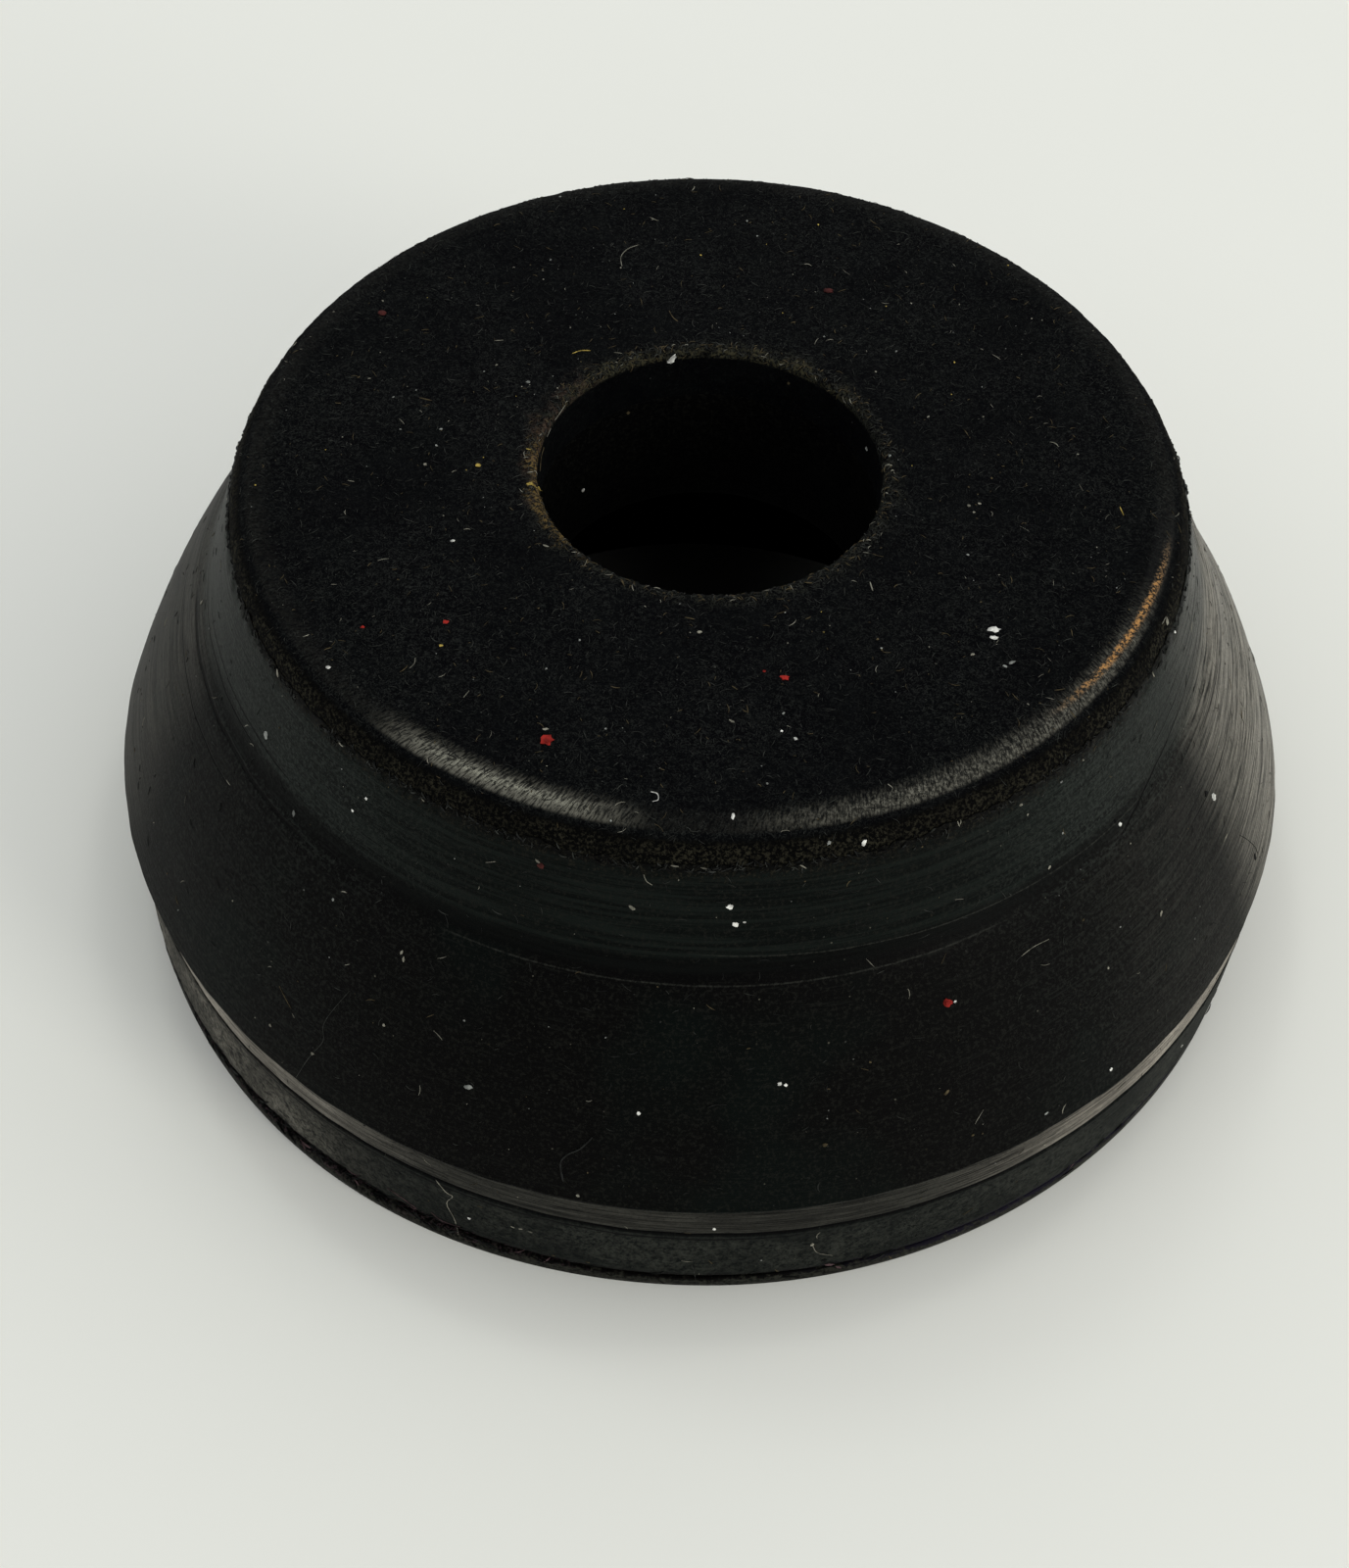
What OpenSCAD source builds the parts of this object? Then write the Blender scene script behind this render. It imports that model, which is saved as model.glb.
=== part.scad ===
// Conical engine mount isolator: a moulded rubber cone, hollow from below,
// bonded in the mould to a round steel plate at its small end.
// Millimetres, +Z up. The origin is the centre of the base, on the surface it stands on.

/* [Overall] */
// Height from the base to the face of the plate
total_h = 28.2; // [23:0.1:40]
// Diameter over the sharp lower edge of the cone
outer_d = 67; // [63:0.5:90]

/* [Plate] */
// Diameter of the steel plate
plate_d = 50.8; // [42:0.1:61]
// Thickness of the steel plate
plate_t = 3.2; // [2.4:0.1:4]
// Radius of the rolled upper edge of the plate
plate_edge_r = 1.7; // [0.5:0.1:2.2]

/* [Bore] */
// Diameter of the bolt bore through plate and rubber
bore_d = 18.3; // [12:0.1:24]
// Radius that breaks the edge of the bore in the plate
bore_edge_r = 0.4; // [0.2:0.1:1]
// Length of the bore, from the plate's face to the ceiling of the hollow
bore_len = 11; // [8:0.5:16]

/* [Neck] */
// How far the neck flares on each side, from the plate down to the shoulder
neck_flare = 1.7; // [0.8:0.1:4]
// Height of the neck, from the shoulder to the underside of the plate
neck_h = 4.6; // [3:0.1:8]
// Thickness of the rubber skin that laps up the edge of the plate
lap_t = 0.25; // [0.15:0.05:0.6]
// Width of the shoulder between the neck and the cone
shoulder_w = 0.4; // [0.2:0.1:1.5]
// Radius in the corner between the neck and the shoulder
shoulder_r = 0.5; // [0.2:0.1:1]

/* [Cone and foot] */
// How far the flank of the cone bulges beyond a straight line
flank_bulge = 0.4; // [0.1:0.05:1.2]
// Height of the foot, from the base to the sharp edge of the cone
foot_h = 8.5; // [6:0.1:11]
// How far the sharp edge of the cone overhangs the foot
edge_overhang = 0.3; // [0.1:0.05:1]
// Height of the thin bottom lip
lip_h = 0.75; // [0.5:0.05:1.5]
// Distance that the bottom lip is set back from the foot's side
lip_inset = 0.1; // [0:0.05:0.6]
// Height of the seam between the bottom lip and the foot's band
seam_h = 0.5; // [0.3:0.05:1]
// Depth of that seam
seam_depth = 0.9; // [0.3:0.1:2]
// Height of the foot's band, from the seam to the parting line
band_h = 4.45; // [3:0.05:4.6]
// Width of each wall of the V-shaped moulding groove on the parting line
parting_w = 0.2; // [0.1:0.05:0.6]

/* [Hollow] */
// Diameter of the hollow at its mouth in the base
hollow_mouth_d = 44; // [38:0.5:50]
// Diameter of the hollow at its ceiling
hollow_top_d = 36; // [30:0.5:37]
// Radius between the wall and the ceiling of the hollow
hollow_r = 3; // [1:0.5:5]

/* [Hidden] */
$fn = 180;

over = 1;                                   // how far a cut runs past a face
hair = 0.002;                               // how far a radius runs into the face it blends into
outer_r = outer_d / 2;
foot_r = outer_r - edge_overhang;
plate_r = plate_d / 2;
neck_r = plate_r + lap_t + neck_flare;      // at the shoulder
bore_r = bore_d / 2;

plate_z = total_h - plate_t;                // underside of the plate
lap_z = total_h - plate_edge_r;             // top of the rubber skin on the plate's edge
shoulder_z = plate_z - neck_h;
band_z = lip_h + seam_h;                    // underside of the foot's band
parting_z = band_z + band_h;
ceiling_z = total_h - bore_len;             // ceiling of the hollow

// The flank is one arc through its two ends, with the bulge at its middle
flank_top = [neck_r + shoulder_w, shoulder_z];
flank_foot = [outer_r, foot_h];
flank_run = flank_foot - flank_top;
flank_len = norm(flank_run);
flank_r = (flank_len * flank_len / 4 + flank_bulge * flank_bulge) / (2 * flank_bulge);
flank_out = [-flank_run[1], flank_run[0]] / flank_len;
flank_centre = (flank_top + flank_foot) / 2 - flank_out * (flank_r - flank_bulge);

// Half section of the steel plate, lying on z = 0, solid to the axis
module plate_blank() {
    square([plate_r - plate_edge_r, plate_t]);
    square([plate_r, plate_t - plate_edge_r]);
    intersection() {
        translate([plate_r - plate_edge_r, plate_t - plate_edge_r]) square(plate_edge_r);
        translate([plate_r - plate_edge_r, plate_t - plate_edge_r]) circle(plate_edge_r);
    }
}

// What the bore takes out of the plate, with its rounded edge
module plate_bore() {
    mouth_z = plate_t - bore_edge_r;
    translate([0, -over]) square([bore_r, plate_t + 2 * over]);
    difference() {
        translate([0, mouth_z]) square([bore_r + bore_edge_r, bore_edge_r + over]);
        translate([bore_r + bore_edge_r, mouth_z]) circle(bore_edge_r);
    }
}

// Half section of the neck, flaring from the plate down to the shoulder
module neck() {
    polygon([
        [0, shoulder_z - over], [neck_r, shoulder_z - over], [neck_r, shoulder_z],
        [plate_r + lap_t, lap_z], [0, lap_z]
    ]);
    // the corner on the shoulder, filled to a small radius that the shoulder limits
    r = min(shoulder_r, shoulder_w);
    lean = atan(neck_flare / (lap_z - shoulder_z));
    centre = [neck_r - r * tan(lean) + (r - hair) / cos(lean), shoulder_z + r];
    difference() {
        polygon([
            [neck_r - over, shoulder_z - over], [centre[0], shoulder_z - over],
            [centre[0], shoulder_z], [centre[0] - r * cos(lean), centre[1] - r * sin(lean)],
            [neck_r - over, centre[1] - r * sin(lean)]
        ]);
        translate(centre) circle(r);
    }
}

// Half section of the cone, with its bulging flank
module cone() {
    intersection() {
        translate([0, foot_h]) square([outer_r + flank_bulge + over, shoulder_z - foot_h]);
        translate(flank_centre) circle(flank_r);
    }
}

// Half section of the foot: bottom lip, seam, band, parting groove and rim
module foot() {
    difference() {
        square([foot_r, foot_h]);
        translate([foot_r, parting_z]) rotate(45) square(parting_w, center = true);
        translate([foot_r - seam_depth, lip_h]) square([seam_depth + over, seam_h]);
        translate([foot_r - lip_inset, -over]) square([lip_inset + over, over + lip_h]);
    }
}

// The hollow below the bore, a shallow cone with a rounded corner at its ceiling
module hollow() {
    mouth_r = hollow_mouth_d / 2;
    top_r = hollow_top_d / 2;
    lean = atan((mouth_r - top_r) / ceiling_z);
    corner_z = ceiling_z - hollow_r;
    corner_x = top_r + (mouth_r - top_r) * hollow_r / ceiling_z - hollow_r / cos(lean);
    polygon([
        [0, -over], [mouth_r + over * tan(lean), -over],
        [corner_x + hollow_r * cos(lean), corner_z + hollow_r * sin(lean)],
        [corner_x, ceiling_z], [0, ceiling_z]
    ]);
    translate([corner_x, corner_z]) circle(hollow_r + hair);
}

module rubber_body() {
    color([0.07, 0.08, 0.08])
    rotate_extrude()
    difference() {
        union() {
            foot();
            cone();
            neck();
        }
        translate([0, plate_z]) plate_blank();
        hollow();
        square([bore_r, total_h]);
    }
}

module top_plate() {
    color([0.10, 0.10, 0.11])
    translate([0, 0, plate_z])
    rotate_extrude()
    difference() {
        plate_blank();
        plate_bore();
    }
}

rubber_body();
top_plate();
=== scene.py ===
"""Engine mount isolator: the looks of a bonded rubber cone and its steel plate.

Sizes are in millimetres here and become metres when a mesh is made. +Z is up, the bore's axis is
the Z axis and the origin is the centre of the base.
"""

import math
import random

import bmesh
import bpy
import numpy as np
from mathutils import Matrix, Vector
from mathutils.bvhtree import BVHTree


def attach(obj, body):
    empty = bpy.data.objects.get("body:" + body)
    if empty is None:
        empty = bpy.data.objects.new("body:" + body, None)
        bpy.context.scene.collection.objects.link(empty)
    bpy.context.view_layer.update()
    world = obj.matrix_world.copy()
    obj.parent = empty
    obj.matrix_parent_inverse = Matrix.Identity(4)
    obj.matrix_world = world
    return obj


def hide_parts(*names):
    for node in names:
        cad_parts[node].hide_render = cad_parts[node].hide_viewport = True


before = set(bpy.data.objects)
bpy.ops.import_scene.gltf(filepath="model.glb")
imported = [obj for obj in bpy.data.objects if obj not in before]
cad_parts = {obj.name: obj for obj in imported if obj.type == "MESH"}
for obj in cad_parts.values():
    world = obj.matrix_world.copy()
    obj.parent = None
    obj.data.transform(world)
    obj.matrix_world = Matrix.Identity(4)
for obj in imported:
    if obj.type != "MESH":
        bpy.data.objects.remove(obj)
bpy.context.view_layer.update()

MM = 0.001
TAU = 2 * math.pi

# ------------------------ sizes, as the CAD has them
TOP_Z = 28.2
PLATE_Z = 25.0
PLATE_R = 25.4
PLATE_EDGE_R = 1.7
BORE_R = 9.15
BORE_EDGE_R = 0.4
CEILING_Z = 17.2
LAP_R = 25.65
LAP_Z = 26.5
SHOULDER_Z = 20.4
SHOULDER_R = 27.75
EDGE_R = 33.5
EDGE_Z = 8.5
FOOT_R = 33.2
PARTING_Z = 5.7
BAND_Z = 1.25
LIP_Z = 0.75
LIP_R = 33.1
HOLLOW_MOUTH_R = 22.0
HOLLOW_TOP_R = 18.0
HOLLOW_CORNER_R = 3.0
FLANK_BULGE = 0.4

RUBBER_STEPS = 600
PLATE_STEPS = 720
STRAND_STEPS = 3
CURVE_STEPS = 4
FACE_STRANDS, RIM_STRANDS = 5400, 900
HEM_SHREDS, SEAM_SHREDS = 1100, 260
LINT_STRANDS, RUBBER_GRAINS, PLATE_GRAINS = 1300, 420, 260

# Where the photograph shows faults, in radians from +X towards +Y, and how far the foot is moved
FLAT_AT = math.radians(2)
TEAR_AT = math.radians(-76.5)
BULGE_AT = math.radians(-124)
CHEWED_AT = math.radians(-128)
FOOT_SHIFT = 0.19

# ------------------------ the camera
# It stands in front of the part (-Y) and looks down at it.
IMAGE_W, IMAGE_H = 1377, 1600
FOCAL_PX = 2581.83
SENSOR_MM = 36.0
CAMERA_AT = Vector((-1.398, -97.323, 121.148))
CAMERA_TILT = 0.887737
CAMERA_ROLL = -0.029828


def camera_axes():
    """The camera's right, up and backward directions."""
    up = Vector((0, math.sin(CAMERA_TILT), math.cos(CAMERA_TILT)))
    back = Vector((0, -math.cos(CAMERA_TILT), math.sin(CAMERA_TILT)))
    right = Vector((1, 0, 0))
    c, s = math.cos(CAMERA_ROLL), math.sin(CAMERA_ROLL)
    return c * right - s * up, s * right + c * up, back


CAMERA_RIGHT, CAMERA_UP, CAMERA_BACK = camera_axes()


def add_object(name, data):
    thing = bpy.data.objects.new(name, data)
    bpy.context.scene.collection.objects.link(thing)
    return thing


def make_camera():
    data = bpy.data.cameras.new("camera")
    data.sensor_width = SENSOR_MM
    data.lens = FOCAL_PX * SENSOR_MM / IMAGE_H
    data.clip_start, data.clip_end = 0.002, 10
    camera = add_object("camera", data)
    rotation = Matrix((CAMERA_RIGHT, CAMERA_UP, CAMERA_BACK)).transposed()
    camera.matrix_world = Matrix.Translation(CAMERA_AT * MM) @ rotation.to_4x4()
    bpy.context.scene.camera = camera


def pixel_ray(u, v):
    """The direction in which the camera sees a pixel of the 1377 x 1600 picture."""
    across = CAMERA_RIGHT * (u - IMAGE_W / 2) - CAMERA_UP * (v - IMAGE_H / 2)
    return (across - CAMERA_BACK * FOCAL_PX).normalized()


# ------------------------ smooth noise on arrays
def _lattice(i, j, k, seed):
    h = (i * 374761393 + j * 668265263 + k * 1442695041 + seed * 974711) & 0xFFFFFFFF
    h = ((h ^ (h >> 13)) * 1274126177) & 0xFFFFFFFF
    h = ((h ^ (h >> 16)) * 2246822519) & 0xFFFFFFFF
    return ((h ^ (h >> 15)) & 0xFFFFFF) / 8388607.5 - 1.0


def noise(x, y, z, seed=0):
    """Smooth noise from -1 to 1 with features about one unit wide."""
    xi, yi, zi = (np.floor(v).astype(np.int64) for v in (x, y, z))
    xf, yf, zf = x - xi, y - yi, z - zi
    u, v, w = (t * t * t * (t * (t * 6 - 15) + 10) for t in (xf, yf, zf))
    total = 0
    for a in (0, 1):
        for b in (0, 1):
            for c in (0, 1):
                weight = (u if a else 1 - u) * (v if b else 1 - v) * (w if c else 1 - w)
                total = total + weight * _lattice(xi + a, yi + b, zi + c, seed)
    return total


def fractal(x, y, z, octaves=3, seed=0):
    total, size, norm = 0, 1.0, 0
    for n in range(octaves):
        total = total + size * noise(x * 2**n, y * 2**n, z * 2**n, seed + 31 * n)
        norm += size
        size *= 0.5
    return total / norm


def bump_at(values, centre, width):
    """A smooth hump of height 1 at centre, gone at width from it."""
    t = np.clip(1 - np.abs(values - centre) / width, 0, 1)
    return t * t * (3 - 2 * t)


def angle_gap(angles, centre):
    """Signed angle in radians from centre, the short way round."""
    return (angles - centre + math.pi) % TAU - math.pi


# ------------------------ outlines
def line(a, b, step):
    """Points from a to b, without b, at most step apart."""
    n = max(1, math.ceil(math.dist(a, b) / step - 1e-6))
    return [(a[0] + (b[0] - a[0]) * i / n, a[1] + (b[1] - a[1]) * i / n) for i in range(n)]


def arc(centre, radius, start, end, n):
    """Points on an arc, ends included; angles in degrees from the +R direction towards +Z."""
    turns = [math.radians(start + (end - start) * i / n) for i in range(n + 1)]
    return [(centre[0] + radius * math.cos(t), centre[1] + radius * math.sin(t)) for t in turns]


def flank(n):
    """The bulging side of the cone, top end first, both ends included."""
    run = (EDGE_R - SHOULDER_R, EDGE_Z - SHOULDER_Z)
    length = math.hypot(*run)
    out = (-run[1] / length, run[0] / length)
    points = []
    for i in range(n + 1):
        t = i / n
        bulge = FLANK_BULGE * 4 * t * (1 - t)
        points.append(
            (SHOULDER_R + run[0] * t + out[0] * bulge, SHOULDER_Z + run[1] * t + out[1] * bulge)
        )
    return points


def rubber_outline():
    """Half section of the rubber as a closed loop: down the outside, then up the inside."""
    points = [(25.405, 26.8), (25.44, 26.7), (25.5, 26.55), (25.57, 26.36)]
    points += line((LAP_R, 26.12), (26.86, 22.1), 0.27)
    # the soft corner at the foot of the neck, and the worn edge of the shoulder
    points += [(26.94, 21.85), (27.02, 21.6), (27.1, 21.4), (27.19, 21.2), (27.3, 21.0)]
    points += [(27.42, 20.8), (27.56, 20.6), (27.71, 20.4), (27.86, 20.2), (28.01, 20.0)]
    points += [(28.15, 19.8), (28.28, 19.6), (28.4, 19.41)]
    points += flank(38)[4:-1]
    # the sharp edge, the parting groove, the band, the seam and the lip
    points += [(33.44, 8.66), (33.49, 8.56), (33.49, 8.46), (33.43, 8.4), (33.3, 8.38)]
    points += [(33.23, 8.33), (33.21, 8.24)] + line((33.21, 8.05), (FOOT_R, 5.95), 0.35)
    points += [(33.19, 5.86), (33.15, 5.8), (33.07, 5.72), (33.06, 5.67), (33.14, 5.6)]
    points += [(33.22, 5.54), (33.22, 5.46)] + line((FOOT_R, 5.3), (33.19, 1.5), 0.35)
    points += [(33.17, 1.36), (33.1, 1.27), (32.95, 1.24), (32.55, 1.22), (32.34, 1.15)]
    points += [(32.32, 0.88), (32.5, 0.79), (32.9, 0.76), (33.03, 0.74), (33.09, 0.66)]
    points += line((LIP_R, 0.55), (LIP_R, 0.14), 0.22) + [(33.08, 0.04), (33.0, 0.0)]
    points += line((32.6, 0.0), (22.3, 0.0), 2.2) + [(22.06, 0.0), (21.97, 0.09)]
    # the hollow, its ceiling and the bore
    lean = math.atan((HOLLOW_MOUTH_R - HOLLOW_TOP_R) / CEILING_Z)
    corner_z = CEILING_Z - HOLLOW_CORNER_R
    corner_x = (
        HOLLOW_TOP_R
        + (HOLLOW_MOUTH_R - HOLLOW_TOP_R) * HOLLOW_CORNER_R / CEILING_Z
        - HOLLOW_CORNER_R / math.cos(lean)
    )
    corner = arc((corner_x, corner_z), HOLLOW_CORNER_R, math.degrees(lean), 90, 6)
    points += line((21.93, 0.3), corner[0], 2.0) + corner
    points += line((14.2, CEILING_Z), (9.5, CEILING_Z), 1.6)
    points += [(9.3, CEILING_Z), (9.18, CEILING_Z + 0.1)]
    points += line((BORE_R, CEILING_Z + 0.4), (BORE_R, PLATE_Z - 0.03), 0.7)
    points += [(BORE_R, PLATE_Z - 0.03)] + line((BORE_R, PLATE_Z), (PLATE_R, PLATE_Z), 5.5)
    points += [(PLATE_R - 0.02, PLATE_Z), (PLATE_R - 0.02, 26.1), (PLATE_R - 0.02, 26.6)]
    return points


def plate_outline():
    """Half section of the plate as a closed loop: up the bore, out over the face, down the edge."""
    points = [(BORE_R, PLATE_Z)]
    points += line((BORE_R, PLATE_Z + 0.03), (BORE_R, TOP_Z - BORE_EDGE_R), 0.4)
    mouth = (BORE_R + BORE_EDGE_R, TOP_Z - BORE_EDGE_R)
    points += arc(mouth, BORE_EDGE_R, 180, 90, 6)
    face_end = PLATE_R - PLATE_EDGE_R
    points += line((mouth[0] + 0.15, TOP_Z), (face_end, TOP_Z), 0.235)
    points += arc((face_end, TOP_Z - PLATE_EDGE_R), PLATE_EDGE_R, 90, 0, 16)
    points += line((PLATE_R, LAP_Z - 0.3), (PLATE_R, PLATE_Z), 0.5) + [(PLATE_R, PLATE_Z)]
    points += line((PLATE_R - 2, PLATE_Z), (BORE_R + 2, PLATE_Z), 4)
    return points


def revolve(name, outline, steps, shift):
    """A closed mesh: the outline turned about the Z axis. shift(r, z, angle, nr, nz) returns how
    far each point moves outwards, upwards and along X, in millimetres; nr and nz are the
    outline's own normal."""
    loop = np.array(outline)
    before, after = np.roll(loop, 1, axis=0), np.roll(loop, -1, axis=0)
    along = after - before
    along /= np.linalg.norm(along, axis=1)[:, None]
    area = np.sum(loop[:, 0] * after[:, 1] - after[:, 0] * loop[:, 1])
    sign = 1 if area > 0 else -1
    normal = sign * np.stack([along[:, 1], -along[:, 0]], axis=1)
    angles = np.arange(steps) * TAU / steps
    r, a = np.meshgrid(loop[:, 0], angles)
    z, _ = np.meshgrid(loop[:, 1], angles)
    nr, _ = np.meshgrid(normal[:, 0], angles)
    nz, _ = np.meshgrid(normal[:, 1], angles)
    dr, dz, dx = shift(r, z, a, nr, nz)
    r, z = r + dr, z + dz
    co = np.stack([r * np.cos(a) + dx, r * np.sin(a), z], axis=-1).reshape(-1, 3) * MM
    m = len(loop)
    i, j = np.meshgrid(np.arange(steps), np.arange(m), indexing="ij")
    i2, j2 = (i + 1) % steps, (j + 1) % m
    quads = np.stack([i * m + j, i2 * m + j, i2 * m + j2, i * m + j2], axis=-1).reshape(-1, 4)
    if sign < 0:
        quads = quads[:, ::-1]
    return make_mesh(name, co, quads)


def make_mesh(name, co, faces):
    """A smooth mesh object from metre coordinates and faces with one count of corners."""
    corners = faces.shape[1]
    mesh = bpy.data.meshes.new(name)
    mesh.vertices.add(len(co))
    mesh.vertices.foreach_set("co", np.ascontiguousarray(co, np.float32).ravel())
    mesh.loops.add(faces.size)
    mesh.loops.foreach_set("vertex_index", np.ascontiguousarray(faces, np.int32).ravel())
    mesh.polygons.add(len(faces))
    mesh.polygons.foreach_set("loop_start", np.arange(0, faces.size, corners, dtype=np.int32))
    mesh.polygons.foreach_set("use_smooth", np.ones(len(faces), bool))
    mesh.update(calc_edges=True)
    mesh.validate()
    return add_object(name, mesh)


# ------------------------ surface unevenness
def rubber_shift(r, z, a, nr, nz):
    """Waviness, the ragged upper hem, and small faults along the edges. The last value returned
    moves the foot to the right, where the photograph's silhouettes have it."""
    x, y = r * np.cos(a), r * np.sin(a)
    ca, sa = np.cos(a), np.sin(a)
    still = z * 0
    d = 0.02 * fractal(x * 0.12, y * 0.12, z * 0.12, 2, 3)
    d = d + 0.006 * noise(ca * 20, sa * 20, z * 2.2 + r * 0.8, 5)
    outside = (r > 24.9) & (z > 0.2)
    # the flank is flatter on the right, and a little fuller just above the sharp edge
    right = np.clip(1.4 - np.abs(angle_gap(a, FLAT_AT)) / math.radians(30), 0, 1)
    flat = 0.09 * bump_at(z, 9.3, 1.5) - 0.26 * bump_at(z, 17.0, 3.2)
    d = d + right * flat * (z < 21.5)
    # the foot of the neck, the sharp edge, the parting line and the lip are a little uneven
    for size, at, width, scale, octaves, seed in (
        (0.05, 20.9, 0.7, 5, 2, 7), (0.06, EDGE_Z, 0.4, 16, 2, 9),
        (0.05, PARTING_Z, 0.3, 22, 2, 11), (0.09, 0.4, 0.5, 26, 3, 12),
    ):
        wave = fractal(ca * scale, sa * scale, still, octaves, seed)
        d = d + size * bump_at(z, at, width) * wave
    # the band between the seam and the parting line is slightly rough
    band = np.clip((z - 1.3) / 0.4, 0, 1) * np.clip((5.4 - z) / 0.3, 0, 1)
    d = d + 0.02 * band * fractal(x * 1.4, y * 1.4, z * 1.4, 2, 14)
    # the lip is torn at the front
    tear = bump_at(angle_gap(a, TEAR_AT), 0, math.radians(1.6))
    d = d - 0.5 * tear * bump_at(z, 0.7, 0.55) * (0.7 + 0.5 * noise(ca * 90, sa * 90, z * 2, 15))
    d = np.where(outside, d, 0)
    dr, dz = d * nr, d * nz
    # the hem on the plate's edge rises and falls
    hem = np.clip((z - 25.9) / 0.5, 0, 1) * (r > 25.39)
    ragged = 0.2 * fractal(ca * 22, sa * 22, still, 2, 21)
    ragged = ragged + 0.2 * noise(ca * 80, sa * 80, still, 22)
    dz = dz + hem * (ragged - 0.06)
    # the seam wanders, and its upper side is chewed at the left
    seam = bump_at(z, 1.0, 0.6) * outside
    chewed = np.clip(1.5 - np.abs(angle_gap(a, CHEWED_AT)) / math.radians(22), 0, 1)
    dz = dz + seam * (0.1 + 0.16 * chewed) * fractal(ca * 14, sa * 14, still, 3, 25)
    dr = dr - seam * chewed * 0.25 * np.abs(noise(ca * 60, sa * 60, z * 3, 26))
    dr = dr + 0.24 * bump_at(angle_gap(a, BULGE_AT), 0, 0.6) * (z < 0.9) * (r > 32)
    foot = np.clip((EDGE_Z - z) / 0.3, 0, 1) * (r > 30)
    return dr, dz, FOOT_SHIFT * foot * np.clip((z - 0.5) / 5, 0, 1)


def plate_shift(r, z, a, nr, nz):
    """The lumpy coating of the plate."""
    x, y = r * np.cos(a), r * np.sin(a)
    shown = (z > LAP_Z - 0.6) & (r < PLATE_R + 0.2)
    d = 0.02 * fractal(x * 0.35, y * 0.35, z * 0.35, 2, 41)
    wall = np.clip((28.0 - z) / 0.4, 0, 1) * (r > 20)
    d = d + (0.012 + 0.03 * wall) * fractal(x * 1.9, y * 1.9, z * 1.9, 2, 43)
    rim = np.clip((10.1 - r) / 0.4, 0, 1) * np.clip((z - 27.4) / 0.3, 0, 1)
    d = d + 0.05 * rim * fractal(x * 2.2, y * 2.2, z * 2.2, 2, 45)
    d = np.where(shown, d, 0)
    return d * nr, d * nz, z * 0


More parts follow.
